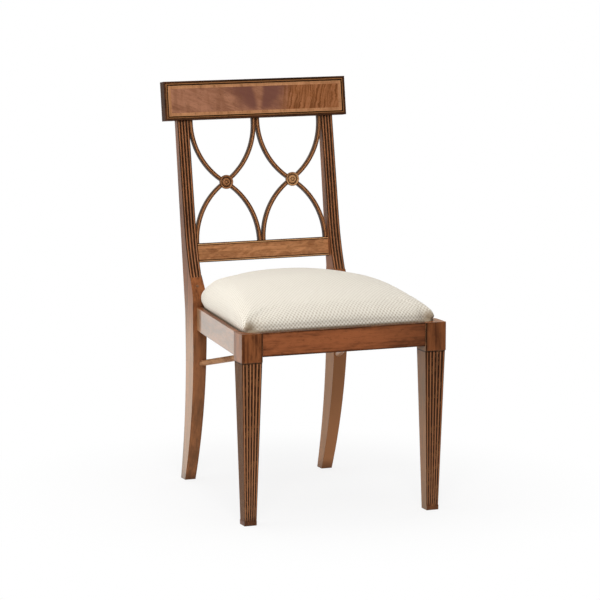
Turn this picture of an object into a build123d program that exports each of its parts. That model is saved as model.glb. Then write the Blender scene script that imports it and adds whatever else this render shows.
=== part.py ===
from build123d import *
import os
from math import atan2, cos, degrees, radians, sin, sqrt, tan

# A side chair with a reeded ogee lattice back and a drop-in seat, in millimetres.
# +X is to the right as seen from the front, +Y goes to the back and +Z goes up.
# The origin is on the floor, in the middle of the chair's width and depth.

# Seat frame
SEAT_RAIL_TOP = 422.0
RAIL_HEIGHT = 52.0
RAIL_THICK = 22.0
FRONT_RAIL_SETBACK = 3.0
LEDGE_DROP = 20.0
LEDGE_MARGIN = 13.0
SIDE_RAIL_REAR_SETIN = 9.2
SIDE_RAIL_SHOULDER = 1.0
SEAT_FALL = 8.0

# Front legs
FRONT_WIDTH = 480.0
BLOCK_SIZE = 48.0
BLOCK_HEIGHT = 63.0
FRONT_FOOT_SIZE = 28.0
FRONT_REEDS = 6
FRONT_REED_DEPTH = 2.2
FRONT_REED_FOOT_BAND = 10.0

# Rear legs and posts
SEAT_DEPTH = 433.0
REAR_LEG_DEPTH = 50.5
REAR_FOOT_SETBACK = 77.0
REAR_FOOT_DEPTH = 27.0
REAR_HALF_WIDTH = 191.2
REAR_FOOT_TAPER = 7.5
REAR_LEG_WIDTH = 33.4
POST_WIDTH = 28.4
POST_BACK = 17.5
POST_NECK_BOTTOM = 14.0
POST_NECK_TOP = 62.0
KNEE_RADIUS = 200.0
SHOULDER_START = 3.0
SHOULDER_RADIUS = 82.0
SHOULDER_TURN = 26.6
SWEEP_RADIUS = 523.0
POST_FRONT_RAKE = 10.6
POST_REEDS = 4
POST_REED_DEPTH = 2.0
POST_REED_STOP = 58.0

# Back, measured along its rake from the level of the seat rail's top
BACK_RAKE = 8.6
BACK_BEHIND_SEAT = 37.4
CREST_BOTTOM = 413.0
CREST_HEIGHT = 89.0
CREST_WIDTH = 445.0
CREST_PROUD = 9.0
CREST_BACK = 15.0
CREST_FRAME = 9.5
CREST_FIELD_DEPTH = 2.6
CREST_GROOVE_INSET = 3.6
CREST_GROOVE = 1.8
VENEER_THICK = 1.2
BANDING_WIDTH = 7.5
LOWER_RAIL_BOTTOM = 88.0
LOWER_RAIL_HEIGHT = 44.0
LOWER_RAIL_PROUD = 2.0
LOWER_RAIL_BACK = 14.0
LOWER_RAIL_BEAD = 4.0
LOWER_FIELD_DEPTH = 1.8

# Lattice
BAR_WIDTH = 9.0
BAR_THICK = 10.0
BAR_REEDS = 3
BAR_REED_DEPTH = 1.1
BAR_GAP = 0.4
BAR_STUB = 7.5
ROSETTE_DIAMETER = 32.0
ROSETTE_THICK = 6.5
ROSETTE_SPIGOT = 6.0
ROSETTE_SPIGOT_LENGTH = 8.0

# Joints between the wooden pieces
FIT = 0.1
TENON_THICK = 8.0
TENON_LENGTH = 18.0
TENON_SHOULDER = 6.0
POST_TENON_LENGTH = 24.0
POST_TENON_THICK = 8.0
POST_TENON_WIDTH = 15.0
BAR_TENON_LENGTH = 8.0
BAR_TENON_SIZE = 5.0

# Corner blocks and their screws
BLOCK_REACH = 70.0
CORNER_BLOCK_HEIGHT = 26.0
SCREW_DIAMETER = 4.0
SCREW_HEAD_DIAMETER = 8.0
SCREW_HEAD_HEIGHT = 3.0
SCREW_GRIP = 16.0
SCREW_BITE = 14.0

# Brace rods and plugs
ROD_REAR_INSET = 10.0
ROD_REAR_HEIGHT = 284.5
ROD_FRONT_X = 24.0
ROD_FRONT_HEIGHT = 387.0
ROD_END_DIAMETER = 13.4
ROD_MIDDLE_DIAMETER = 14.4
ROD_SOCKET = 12.0
PLUG_DIAMETER = 6.0
PLUG_LENGTH = 14.0
PLUG_PROUD = 0.8

# Drop-in seat
SEAT_PLAY = 1.2
SEAT_REST = 0.2
DUST_COVER_THICK = 0.8
DUST_COVER_MARGIN = 3.0
SEAT_FRAME_THICK = 18.0
SEAT_FRAME_WIDTH = 45.0
WEBBING_THICK = 1.5
WEBBING_WIDTH = 50.0
WEBBING_MARGIN = 9.0
WEBBING_STRIPS = 4
CLOTH_THICK = 1.2
SOFT_PLAY = 0.3
SEAT_CORNER = 27.0
SEAT_CROWN = 90.0
SEAT_FRONT_CROWN = 10.0
SEAT_REAR_CROWN = 61.0
SEAT_FRONT_ROLL = 1.15
SEAT_REAR_ROLL = 2.7
SEAT_SIDE_LEAN = 53.0
SEAT_TOP_SLOPE = 12.8
CUSHION_STATIONS = (-1, -0.99, -0.97, -0.94, -0.9, -0.85, -0.8, -0.7, -0.5, -0.2, 0.2, 0.5, 0.8, 1)

# Values that follow from the sizes above
RAKE = radians(BACK_RAKE)
CREST_TOP = CREST_BOTTOM + CREST_HEIGHT
BACK_SETBACK = SEAT_DEPTH + BACK_BEHIND_SEAT
OVERALL_DEPTH = BACK_SETBACK + CREST_TOP * sin(RAKE) + CREST_BACK * cos(RAKE)
FRONT = -OVERALL_DEPTH / 2
RAIL_BOTTOM = SEAT_RAIL_TOP - RAIL_HEIGHT
LEDGE = SEAT_RAIL_TOP - LEDGE_DROP
BLOCK_BOTTOM = SEAT_RAIL_TOP - BLOCK_HEIGHT
BLOCK_INNER = FRONT_WIDTH / 2 - BLOCK_SIZE
BLOCK_BACK = FRONT + BLOCK_SIZE
LEG_FRONT = FRONT + SEAT_DEPTH
LEG_BACK = LEG_FRONT + REAR_LEG_DEPTH
LEG_INNER = REAR_HALF_WIDTH - REAR_LEG_WIDTH
POST_INNER = REAR_HALF_WIDTH - POST_WIDTH
FRONT_RAIL_FACE = FRONT + FRONT_RAIL_SETBACK
FRONT_RAIL_BACK = FRONT_RAIL_FACE + RAIL_THICK
RAIL_FRONT_HALF_WIDTH = FRONT_WIDTH / 2 - SIDE_RAIL_SHOULDER
RAIL_REAR_HALF_WIDTH = REAR_HALF_WIDTH - SIDE_RAIL_REAR_SETIN
SIDE_RAIL_SLOPE = (RAIL_FRONT_HALF_WIDTH - RAIL_REAR_HALF_WIDTH) / (LEG_FRONT - BLOCK_BACK)
SIDE_RAIL_ACROSS = RAIL_THICK * sqrt(1 + SIDE_RAIL_SLOPE ** 2)
SEAT_TILT = degrees(atan2(SEAT_FALL, LEG_FRONT - BLOCK_BACK))
TENON_BOTTOM = RAIL_BOTTOM + TENON_SHOULDER
TENON_TOP = LEDGE - TENON_SHOULDER
SABRE_RADIUS = (RAIL_BOTTOM ** 2 + REAR_FOOT_SETBACK ** 2) / (2 * REAR_FOOT_SETBACK)
LATTICE_BOTTOM = LOWER_RAIL_BOTTOM + LOWER_RAIL_HEIGHT
BAR_INNER_X = (BAR_WIDTH + BAR_GAP) / 2
BAR_OUTER_X = POST_INNER - (BAR_WIDTH + BAR_GAP) / 2
ROSETTE_X = (BAR_INNER_X + BAR_OUTER_X) / 2
ROSETTE_HEIGHT = (LATTICE_BOTTOM + CREST_BOTTOM - BAR_STUB) / 2
DUST_COVER_BOTTOM = LEDGE + SEAT_REST
SEAT_FRAME_BOTTOM = DUST_COVER_BOTTOM + DUST_COVER_THICK
SEAT_FRAME_TOP = SEAT_FRAME_BOTTOM + SEAT_FRAME_THICK
FRAME_INSET = SEAT_PLAY + CLOTH_THICK + SOFT_PLAY
PAD_BOTTOM = SEAT_FRAME_TOP + 2 * WEBBING_THICK
TALL = 2 * (SEAT_RAIL_TOP + CREST_TOP)

# The back's own frame: x to the right, y up the rake, z out of the lattice's front face
BACK = Plane(
    origin=(0, FRONT + BACK_SETBACK, SEAT_RAIL_TOP),
    x_dir=(1, 0, 0),
    z_dir=(0, -cos(RAKE), sin(RAKE)),
)


def block(x0, x1, y0, y1, z0, z1):
    """A box between two opposite corners."""
    size = (abs(x1 - x0), abs(y1 - y0), abs(z1 - z0))
    return Pos((x0 + x1) / 2, (y0 + y1) / 2, (z0 + z1) / 2) * Box(*size)


def grown(x0, x1, y0, y1, z0, z1, gap):
    """The box of a tenon, larger by the gap all round, for its mortise."""
    return block(x0 - gap, x1 + gap, y0 - gap, y1 + gap, z0 - gap, z1 + gap)


def prism(points, z0, z1):
    """A plan outline raised from one height to another."""
    return extrude(Pos(0, 0, z0) * make_face(Polyline(*points, close=True)), z1 - z0)


def on_back(solid):
    """Move a solid from the back's own frame to the chair's."""
    return BACK.location * solid


def tilted(solid):
    """Tip a level solid back with the seat, which falls from the front legs to the rear ones."""
    hinge = Pos(0, BLOCK_BACK, SEAT_RAIL_TOP)
    return hinge * Rot(-SEAT_TILT, 0, 0) * hinge.inverse() * solid


def other_side(solid):
    """The same piece on the left."""
    return mirror(solid, about=Plane.YZ)


def reeding(width, count, depth, skin):
    """Outline of what is cut away between reeds: the face is y = 0 and the wood is at y > 0."""
    step = width / count
    left = -width / 2
    outline = Polyline((left, depth), (left, -skin * 4), (-left, -skin * 4), (-left, depth))
    for reed in range(count):
        start = left + reed * step
        outline += ThreePointArc((start, depth), (start + step / 2, skin), (start + step, depth))
    return make_face(outline)


# Front legs

def front_leg():
    """Right front leg: square block, tapered shaft, reeds on the front and outer faces."""
    centre_x = FRONT_WIDTH / 2 - BLOCK_SIZE / 2
    centre_y = FRONT + BLOCK_SIZE / 2
    inset = (BLOCK_SIZE - FRONT_FOOT_SIZE) / 2
    top = Pos(centre_x, centre_y, BLOCK_BOTTOM) * Rectangle(BLOCK_SIZE, BLOCK_SIZE)
    foot = Pos(centre_x, centre_y, 0) * Rectangle(FRONT_FOOT_SIZE, FRONT_FOOT_SIZE)
    leg = loft([foot, top], ruled=True)
    leg += extrude(top, BLOCK_HEIGHT)

    band = FRONT_REED_FOOT_BAND / BLOCK_BOTTOM
    band_inset = inset * (1 - band)
    skin = FRONT_REED_DEPTH / 5
    upper = reeding(BLOCK_SIZE, FRONT_REEDS, FRONT_REED_DEPTH, skin)
    lower_width = BLOCK_SIZE - 2 * band_inset
    lower_depth = FRONT_REED_DEPTH * lower_width / BLOCK_SIZE
    lower = reeding(lower_width, FRONT_REEDS, lower_depth, skin)
    half = BLOCK_SIZE / 2
    cut = loft(
        [
            Pos(0, band_inset - half, FRONT_REED_FOOT_BAND) * lower,
            Pos(0, -half, BLOCK_BOTTOM) * upper,
        ],
        ruled=True,
    )
    for turn in (0, 90):
        leg -= Pos(centre_x, centre_y, 0) * Rot(0, 0, turn) * cut
    leg -= seat_well()
    leg -= front_rail_tenon(FIT)
    leg -= side_rail_front_tenon(FIT)
    return leg


# Seat rails

def side_rail_outer(y):
    """Half width of the seat frame's outer face at a place along its depth."""
    return RAIL_FRONT_HALF_WIDTH - SIDE_RAIL_SLOPE * (y - BLOCK_BACK)


def side_rail_inner(y):
    """Half width between the side rails' inner faces."""
    return side_rail_outer(y) - SIDE_RAIL_ACROSS


def seat_outline(inset):
    """Plan of the drop-in seat, drawn in by an inset from the edge of the ledge."""
    front = FRONT_RAIL_FACE + LEDGE_MARGIN + inset
    rear = LEG_FRONT - inset
    wide = side_rail_outer(front) - LEDGE_MARGIN - inset
    narrow = side_rail_outer(rear) - LEDGE_MARGIN - inset
    return [(-wide, front), (wide, front), (narrow, rear), (-narrow, rear)]


def seat_slab(inset, z0, z1):
    """That plan with its front corners rounded, raised from one height to another."""
    plan = make_face(Polyline(*seat_outline(inset), close=True))
    plan = fillet(plan.vertices().sort_by(Axis.Y)[:2], SEAT_CORNER - inset)
    return extrude(Pos(0, 0, z0) * plan, z1 - z0)


def seat_well():
    """The space above the ledge that the seat drops into."""
    return tilted(seat_slab(0, LEDGE, TALL))


def front_rail_tenon(gap):
    """Right tenon of the front rail."""
    middle = (FRONT_RAIL_FACE + FRONT_RAIL_BACK) / 2
    return grown(
        BLOCK_INNER, BLOCK_INNER + TENON_LENGTH,
        middle - TENON_THICK / 2, middle + TENON_THICK / 2,
        TENON_BOTTOM, TENON_TOP, gap,
    )


def side_rail_front_tenon(gap):
    """Front tenon of the right side rail."""
    middle = side_rail_outer(BLOCK_BACK) - SIDE_RAIL_ACROSS / 2
    return grown(
        middle - TENON_THICK / 2, middle + TENON_THICK / 2,
        BLOCK_BACK - TENON_LENGTH, BLOCK_BACK,
        TENON_BOTTOM, TENON_TOP, gap,
    )


def side_rail_rear_tenon(gap):
    """Rear tenon of the right side rail."""
    middle = side_rail_outer(LEG_FRONT) - SIDE_RAIL_ACROSS / 2
    return grown(
        middle - TENON_THICK / 2, middle + TENON_THICK / 2,
        LEG_FRONT, LEG_FRONT + TENON_LENGTH,
        TENON_BOTTOM - SEAT_FALL, TENON_TOP - SEAT_FALL, gap,
    )


def rear_rail_tenon(gap):
    """Right tenon of the rear rail, behind the side rail's tenon."""
    front = LEG_FRONT + RAIL_THICK
    return grown(
        LEG_INNER, LEG_INNER + TENON_LENGTH,
        front, front + TENON_THICK,
        TENON_BOTTOM - SEAT_FALL, TENON_TOP - SEAT_FALL, gap,
    )


def front_seat_rail():
    rail = block(
        -BLOCK_INNER, BLOCK_INNER, FRONT_RAIL_FACE, FRONT_RAIL_BACK, RAIL_BOTTOM, SEAT_RAIL_TOP
    )
    rail += front_rail_tenon(0) + other_side(front_rail_tenon(0))
    rail -= seat_well()
    for cut in (brace_rod_body(FIT), front_block_screws(FIT)):
        rail -= cut
        rail -= other_side(cut)
    return rail


def side_seat_rail():
    """Right side rail, angled in and falling towards the back."""
    plan = [
        (side_rail_outer(BLOCK_BACK), BLOCK_BACK),
        (side_rail_outer(LEG_FRONT), LEG_FRONT),
        (side_rail_inner(LEG_FRONT), LEG_FRONT),
        (side_rail_inner(BLOCK_BACK), BLOCK_BACK),
    ]
    profile = [
        (BLOCK_BACK, RAIL_BOTTOM),
        (LEG_FRONT, RAIL_BOTTOM - SEAT_FALL),
        (LEG_FRONT, SEAT_RAIL_TOP - SEAT_FALL),
        (BLOCK_BACK, SEAT_RAIL_TOP),
    ]
    rail = extrude(Plane.YZ * make_face(Polyline(*profile, close=True)), FRONT_WIDTH)
    rail &= prism(plan, 0, SEAT_RAIL_TOP)
    rail += side_rail_front_tenon(0) + side_rail_rear_tenon(0)
    rail -= seat_well()
    rail -= front_block_screws(FIT)
    rail -= rear_block_screws(FIT)
    return rail


def rear_seat_rail():
    """Rear rail, lower than the front one by the fall of the seat."""
    back = LEG_FRONT + RAIL_THICK + 2 * TENON_THICK
    top = SEAT_RAIL_TOP - SEAT_FALL
    rail = block(-LEG_INNER, LEG_INNER, LEG_FRONT, back, top - RAIL_HEIGHT, top)
    rail += rear_rail_tenon(0) + other_side(rear_rail_tenon(0))
    rail -= rear_block_screws(FIT)
    rail -= other_side(rear_block_screws(FIT))
    return rail


# Rear legs, one piece with the posts

def post_front_curve():
    """Shoulder and sweep of the post's front edge, in (y, z)."""
    start = (LEG_FRONT, SEAT_RAIL_TOP + SHOULDER_START)
    shoulder = JernArc(start, (0, 1), SHOULDER_RADIUS, -SHOULDER_TURN)
    sweep_arc = JernArc(shoulder @ 1, shoulder % 1, SWEEP_RADIUS, SHOULDER_TURN - POST_FRONT_RAKE)
    return shoulder, sweep_arc


def rear_leg_side():
    """Side outline: sabre leg, straight seat joint, shoulder, and a post that thins upwards."""
    shoulder, sweep_arc = post_front_curve()
    top_front = sweep_arc @ 1 + sweep_arc % 1 * CREST_TOP
    back_y = FRONT + BACK_SETBACK + POST_BACK / cos(RAKE)
    knee = SEAT_RAIL_TOP + (LEG_BACK - back_y) / tan(RAKE)
    reach = KNEE_RADIUS * tan(RAKE / 2)
    knee_low = (LEG_BACK, knee - reach)
    knee_high = (LEG_BACK + reach * sin(RAKE), knee + reach * cos(RAKE))
    top_back = (back_y + CREST_TOP * tan(RAKE), SEAT_RAIL_TOP + CREST_TOP)
    foot_front = (LEG_FRONT + REAR_FOOT_SETBACK, 0)
    foot_back = (LEG_FRONT + REAR_FOOT_SETBACK + REAR_FOOT_DEPTH, 0)
    outline = [
        TangentArc((LEG_FRONT, RAIL_BOTTOM), foot_front, tangent=(0, -1)),
        Line(foot_front, foot_back),
        TangentArc((LEG_BACK, RAIL_BOTTOM), foot_back, tangent=(0, -1)),
        Line((LEG_BACK, RAIL_BOTTOM), knee_low),
        TangentArc(knee_low, knee_high, tangent=(0, 1)),
        Line(knee_high, top_back),
        Line(top_back, top_front),
        Line(top_front, sweep_arc @ 1),
        sweep_arc,
        shoulder,
        Line(shoulder @ 0, (LEG_FRONT, RAIL_BOTTOM)),
    ]
    return make_face(outline)


def rear_leg_face():
    """Front outline of the right leg: straight inside, tapered outside, narrow post."""
    high = SEAT_RAIL_TOP + CREST_TOP
    points = [
        (LEG_INNER, 0),
        (REAR_HALF_WIDTH - REAR_FOOT_TAPER, 0),
        (REAR_HALF_WIDTH, RAIL_BOTTOM),
        (REAR_HALF_WIDTH, high),
        (POST_INNER, high),
        (POST_INNER, SEAT_RAIL_TOP + POST_NECK_TOP),
        (LEG_INNER, SEAT_RAIL_TOP + POST_NECK_BOTTOM),
    ]
    return make_face(Polyline(*points, close=True))


def post_reeding():
    """What is cut from the right post's front face, along the sweep and up to the crest."""
    shoulder, sweep_arc = post_front_curve()
    rise = (shoulder @ 1).Y - SEAT_RAIL_TOP
    lean = sin(radians(SHOULDER_TURN)) - (POST_REED_STOP - rise) / SWEEP_RADIUS
    stop = degrees(atan2(lean, sqrt(1 - lean ** 2)))
    upper = JernArc(sweep_arc @ 1, -(sweep_arc % 1), SWEEP_RADIUS, POST_FRONT_RAKE - stop)
    straight = Line(sweep_arc @ 1 + sweep_arc % 1 * CREST_TOP, sweep_arc @ 1)
    centre = (REAR_HALF_WIDTH + POST_INNER) / 2
    side = Plane(origin=(centre, 0, 0), x_dir=(0, 1, 0), z_dir=(1, 0, 0))
    path = side * Wire([straight, upper])
    start = path @ 0
    along = path % 0
    outline = reeding(POST_WIDTH, POST_REEDS, POST_REED_DEPTH, POST_REED_DEPTH / 6)
    place = Plane(origin=start, x_dir=(-1, 0, 0), z_dir=along)
    return sweep(place * outline, path=path)


def post_tenon(gap):
    """Tenon on top of the right post, in the back's own frame."""
    middle = (REAR_HALF_WIDTH + POST_INNER) / 2
    centre = POST_TENON_THICK / 2 - CREST_BACK / 2
    return grown(
        middle - POST_TENON_WIDTH / 2, middle + POST_TENON_WIDTH / 2,
        CREST_BOTTOM - POST_TENON_LENGTH, CREST_BOTTOM + POST_TENON_LENGTH,
        centre - POST_TENON_THICK, centre, gap,
    )


def rear_leg():
    """Right rear leg and post."""
    side = extrude(Plane.YZ * rear_leg_side(), FRONT_WIDTH)
    face = extrude(Plane.XZ * rear_leg_face(), OVERALL_DEPTH, both=True)
    leg = side & face
    leg -= post_reeding()
    above = block(0, FRONT_WIDTH, CREST_BOTTOM, TALL, -TALL, TALL)
    leg -= on_back(above)
    leg += on_back(post_tenon(0))
    leg -= on_back(lower_rail_tenon(FIT))
    leg -= side_rail_rear_tenon(FIT)
    leg -= rear_rail_tenon(FIT)
    leg -= brace_rod_body(FIT)
    leg -= post_plug(FIT)
    return leg


def post_plug(gap):
    """Round plug in the plain part of the right post, square to its face."""
    shoulder, _ = post_front_curve()
    spot = shoulder @ 1
    lean = radians(SHOULDER_TURN)
    place = Plane(
        origin=((REAR_HALF_WIDTH + POST_INNER) / 2, spot.X, spot.Y),
        x_dir=(1, 0, 0),
        z_dir=(0, -cos(lean), sin(lean)),
    )
    length = PLUG_LENGTH + PLUG_PROUD + 2 * gap
    centre = (PLUG_PROUD - PLUG_LENGTH) / 2
    return place.location * Pos(0, 0, centre) * Cylinder(PLUG_DIAMETER / 2 + gap, length)


# Crest rail

def crest_rail():
    """Tablet with a moulded border round a sunk field."""
    half = CREST_WIDTH / 2
    crest = block(-half, half, CREST_BOTTOM, CREST_TOP, -CREST_BACK, CREST_PROUD)
    crest -= crest_field(0, CREST_PROUD - CREST_FIELD_DEPTH, 2 * CREST_PROUD)
    groove = crest_ring(CREST_GROOVE_INSET, CREST_GROOVE_INSET + CREST_GROOVE)
    crest -= Pos(0, 0, CREST_PROUD - CREST_GROOVE) * extrude(groove, CREST_PROUD)
    for tenon in (post_tenon(FIT), bar_tenons(FIT)):
        crest -= tenon
        crest -= other_side(tenon)
    return on_back(crest)


def crest_rectangle(inset):
    """The crest's outline in the back's frame, drawn in by an inset."""
    middle = (CREST_BOTTOM + CREST_TOP) / 2
    return Pos(0, middle) * Rectangle(CREST_WIDTH - 2 * inset, CREST_HEIGHT - 2 * inset)


def crest_ring(outer, inner):
    return crest_rectangle(outer) - crest_rectangle(inner)


def crest_field(inset, z0, z1):
    return Pos(0, 0, z0) * extrude(crest_rectangle(CREST_FRAME + inset), z1 - z0)


def crest_banding():
    """Cross-banding laid round the edge of the field."""
    floor = CREST_PROUD - CREST_FIELD_DEPTH
    ring = crest_ring(CREST_FRAME, CREST_FRAME + BANDING_WIDTH)
    return on_back(Pos(0, 0, floor) * extrude(ring, VENEER_THICK))


def crest_veneer():
    """Figured panel inside the banding."""
    floor = CREST_PROUD - CREST_FIELD_DEPTH
    return on_back(crest_field(BANDING_WIDTH, floor, floor + VENEER_THICK))


# Lower back rail

def lower_rail_tenon(gap):
    """Right tenon of the lower back rail, in the back's own frame."""
    middle = (LOWER_RAIL_PROUD - LOWER_RAIL_BACK) / 2
    return grown(
        POST_INNER, POST_INNER + TENON_LENGTH,
        LOWER_RAIL_BOTTOM + TENON_SHOULDER, LATTICE_BOTTOM - TENON_SHOULDER,
        middle - TENON_THICK / 2, middle + TENON_THICK / 2, gap,
    )


def lower_rail_field(z0, z1):
    """The sunk field between the rail's two beads."""
    return block(
        -POST_INNER, POST_INNER,
        LOWER_RAIL_BOTTOM + LOWER_RAIL_BEAD, LATTICE_BOTTOM - LOWER_RAIL_BEAD,
        z0, z1,
    )


def lower_back_rail():
    """Rail with a rounded bead along each edge."""
    rail = block(
        -POST_INNER, POST_INNER, LOWER_RAIL_BOTTOM, LATTICE_BOTTOM,
        -LOWER_RAIL_BACK, LOWER_RAIL_PROUD,
    )
    rail -= lower_rail_field(LOWER_RAIL_PROUD - LOWER_FIELD_DEPTH, 2 * LOWER_RAIL_BACK)
    front_edges = rail.edges().filter_by(Axis.X).group_by(Axis.Z)[-1]
    rail = fillet(front_edges, LOWER_FIELD_DEPTH * 0.6)
    rail += lower_rail_tenon(0) + other_side(lower_rail_tenon(0))
    rail -= bar_tenons(FIT)
    rail -= other_side(bar_tenons(FIT))
    return on_back(rail)


def lower_rail_veneer():
    floor = LOWER_RAIL_PROUD - LOWER_FIELD_DEPTH
    return on_back(lower_rail_field(floor, floor + VENEER_THICK))


# Lattice

def bar_path(rising):
    """Centre line of a bar right of the middle: two equal arcs and a short upright end."""
    low_x = BAR_INNER_X if rising else BAR_OUTER_X
    high_x = BAR_OUTER_X if rising else BAR_INNER_X
    low = (low_x, LATTICE_BOTTOM)
    bend = (high_x, CREST_BOTTOM - BAR_STUB)
    middle = (ROSETTE_X, ROSETTE_HEIGHT)
    return Wire([
        TangentArc(low, middle, tangent=(0, 1)),
        TangentArc(bend, middle, tangent=(0, -1)),
        Line(bend, (high_x, CREST_BOTTOM)),
    ])


def bar_section(reeded):
    """Section of a bar at its lower end, with its front face at z = 0."""
    section = Pos(0, BAR_THICK / 2) * Rectangle(BAR_WIDTH, BAR_THICK)
    if reeded:
        section -= reeding(BAR_WIDTH, BAR_REEDS, BAR_REED_DEPTH, BAR_REED_DEPTH / 6)
    return section


def bar_sweep(rising, reeded):
    path = bar_path(rising)
    place = Plane(origin=path @ 0, x_dir=(1, 0, 0), z_dir=path % 0)
    return sweep(place * bar_section(reeded), path=path)


def bar_tenon_at(x, height, gap):
    """Stub tenon through a bar's end, reaching into the rail above or below it."""
    half = BAR_TENON_SIZE / 2
    middle = -BAR_THICK / 2
    return grown(
        x - half, x + half, height - BAR_TENON_LENGTH, height + BAR_TENON_LENGTH,
        middle - half, middle + half, gap,
    )


def bar_tenons(gap):
    """All stub tenons right of the middle."""
    ends = [(x, height) for x in (BAR_INNER_X, BAR_OUTER_X) for height in (LATTICE_BOTTOM, CREST_BOTTOM)]
    return [bar_tenon_at(x, height, gap) for x, height in ends]


def lattice_bar(rising):
    """A bar right of the middle, half-lapped where it crosses the other one."""
    bar = bar_sweep(rising, True)
    crossing = bar_sweep(not rising, False)
    reach = ROSETTE_DIAMETER
    lap_front = 0 if rising else -BAR_THICK / 2
    lap_back = -BAR_THICK / 2 if rising else -BAR_THICK
    slab = block(
        ROSETTE_X - reach, ROSETTE_X + reach,
        ROSETTE_HEIGHT - reach, ROSETTE_HEIGHT + reach,
        lap_back, lap_front,
    )
    bar -= crossing & slab
    bar -= rosette_spigot(FIT)
    low_x = BAR_INNER_X if rising else BAR_OUTER_X
    high_x = BAR_OUTER_X if rising else BAR_INNER_X
    bar += bar_tenon_at(low_x, LATTICE_BOTTOM, 0)
    bar += bar_tenon_at(high_x, CREST_BOTTOM, 0)
    return on_back(bar)


def rosette_spigot(gap):
    length = ROSETTE_SPIGOT_LENGTH + gap
    spigot = Cylinder(ROSETTE_SPIGOT / 2 + gap, length + gap)
    return Pos(ROSETTE_X, ROSETTE_HEIGHT, (gap - length) / 2) * spigot


def rosette():
    """Turned bullseye: rim, two rings and a button, with a spigot into the crossing."""
    radius = ROSETTE_DIAMETER / 2
    rim = radius * 0.80
    ring = radius * 0.52
    button = radius * 0.26
    low = ROSETTE_THICK * 0.62
    high = ROSETTE_THICK
    outline = [
        Line((0, 0), (radius, 0)),
        Line((radius, 0), (radius, low)),
        ThreePointArc((radius, low), ((radius + rim) / 2, high), (rim, low)),
        ThreePointArc((rim, low), ((rim + ring) / 2, low * 0.8), (ring, low)),
        ThreePointArc((ring, low), ((ring + button) / 2, high), (button, low)),
        TangentArc((0, high), (button, low), tangent=(1, 0)),
        Line((0, high), (0, 0)),
    ]
    disc = revolve(Plane.XZ * make_face(outline), Axis.Z)
    return on_back(Pos(ROSETTE_X, ROSETTE_HEIGHT, 0) * disc + rosette_spigot(0))


# Corner blocks and screws

def front_block_plan():
    """Plan of the right front block, notched round the leg."""
    side_end = BLOCK_BACK + BLOCK_REACH
    return [
        (BLOCK_INNER - BLOCK_REACH, FRONT_RAIL_BACK),
        (BLOCK_INNER, FRONT_RAIL_BACK),
        (BLOCK_INNER, BLOCK_BACK),
        (side_rail_inner(BLOCK_BACK), BLOCK_BACK),
        (side_rail_inner(side_end), side_end),
    ]


def rear_block_plan():
    """Plan of the right rear block."""
    side_end = LEG_FRONT - BLOCK_REACH
    corner = side_rail_inner(LEG_FRONT)
    return [
        (corner, LEG_FRONT),
        (corner - BLOCK_REACH, LEG_FRONT),
        (side_rail_inner(side_end), side_end),
    ]


def corner_block(plan, screws):
    """Upright block, its top level with the sloping ledge."""
    wide = FRONT_WIDTH
    layer = tilted(block(-wide, wide, FRONT, -FRONT, LEDGE - CORNER_BLOCK_HEIGHT, LEDGE))
    return (prism(plan, 0, SEAT_RAIL_TOP) & layer) - screws


def screw(x, y, toward, gap):
    """Screw through a corner block: the point lies on the rail's face, the axis enters the rail."""
    height = LEDGE - CORNER_BLOCK_HEIGHT / 2 - (y - BLOCK_BACK) * tan(radians(SEAT_TILT))
    place = Plane(origin=(x, y, height), z_dir=toward)
    shank_length = SCREW_GRIP + SCREW_BITE + gap
    shank = Pos(0, 0, (SCREW_BITE + gap - SCREW_GRIP) / 2)
    shank = shank * Cylinder(SCREW_DIAMETER / 2 + gap, shank_length)
    head_length = BLOCK_REACH if gap else SCREW_HEAD_HEIGHT
    head = Pos(0, 0, -SCREW_GRIP - head_length / 2)
    head = head * Cylinder(SCREW_HEAD_DIAMETER / 2 + gap, head_length)
    return place.location * (shank + head)


def side_normal():
    """Outward direction square to the right side rail."""
    return (1, SIDE_RAIL_SLOPE, 0)


def front_block_screws(gap):
    """The two screws of the right front block."""
    into_front = screw(BLOCK_INNER - BLOCK_REACH / 2, FRONT_RAIL_BACK, (0, -1, 0), gap)
    y = BLOCK_BACK + BLOCK_REACH / 2
    return into_front + screw(side_rail_inner(y), y, side_normal(), gap)


def rear_block_screws(gap):
    """The two screws of the right rear block."""
    spot = BLOCK_REACH * 0.45
    into_rear = screw(side_rail_inner(LEG_FRONT) - spot, LEG_FRONT, (0, 1, 0), gap)
    y = LEG_FRONT - spot
    return into_rear + screw(side_rail_inner(y), y, side_normal(), gap)


# Brace rods

def sabre_front(height):
    """Place of the rear leg's front face below the seat rails."""
    drop = RAIL_BOTTOM - height
    return LEG_FRONT + SABRE_RADIUS - sqrt(SABRE_RADIUS ** 2 - drop ** 2)


def brace_rod_body(gap):
    """Right rod: a turned spindle, fuller in the middle, from the rear leg to the front rail."""
    rear_x = LEG_INNER + ROD_REAR_INSET
    rear = Vector(rear_x, sabre_front(ROD_REAR_HEIGHT), ROD_REAR_HEIGHT)
    front = Vector(ROD_FRONT_X, FRONT_RAIL_BACK, ROD_FRONT_HEIGHT)
    along = front - rear
    length = along.length
    end = ROD_END_DIAMETER / 2 + gap
    middle = ROD_MIDDLE_DIAMETER / 2 + gap
    low = -ROD_SOCKET - gap
    high = length + ROD_SOCKET + gap
    straight = 2 * ROD_SOCKET
    outline = [
        Line((0, low), (end, low)),
        Line((end, low), (end, straight)),
        ThreePointArc((end, straight), (middle, length / 2), (end, length - straight)),
        Line((end, length - straight), (end, high)),
        Line((end, high), (0, high)),
        Line((0, high), (0, low)),
    ]
    rod = revolve(Plane.XZ * make_face(outline), Axis.Z)
    return Plane(origin=rear, z_dir=along).location * rod


# Drop-in seat

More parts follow.
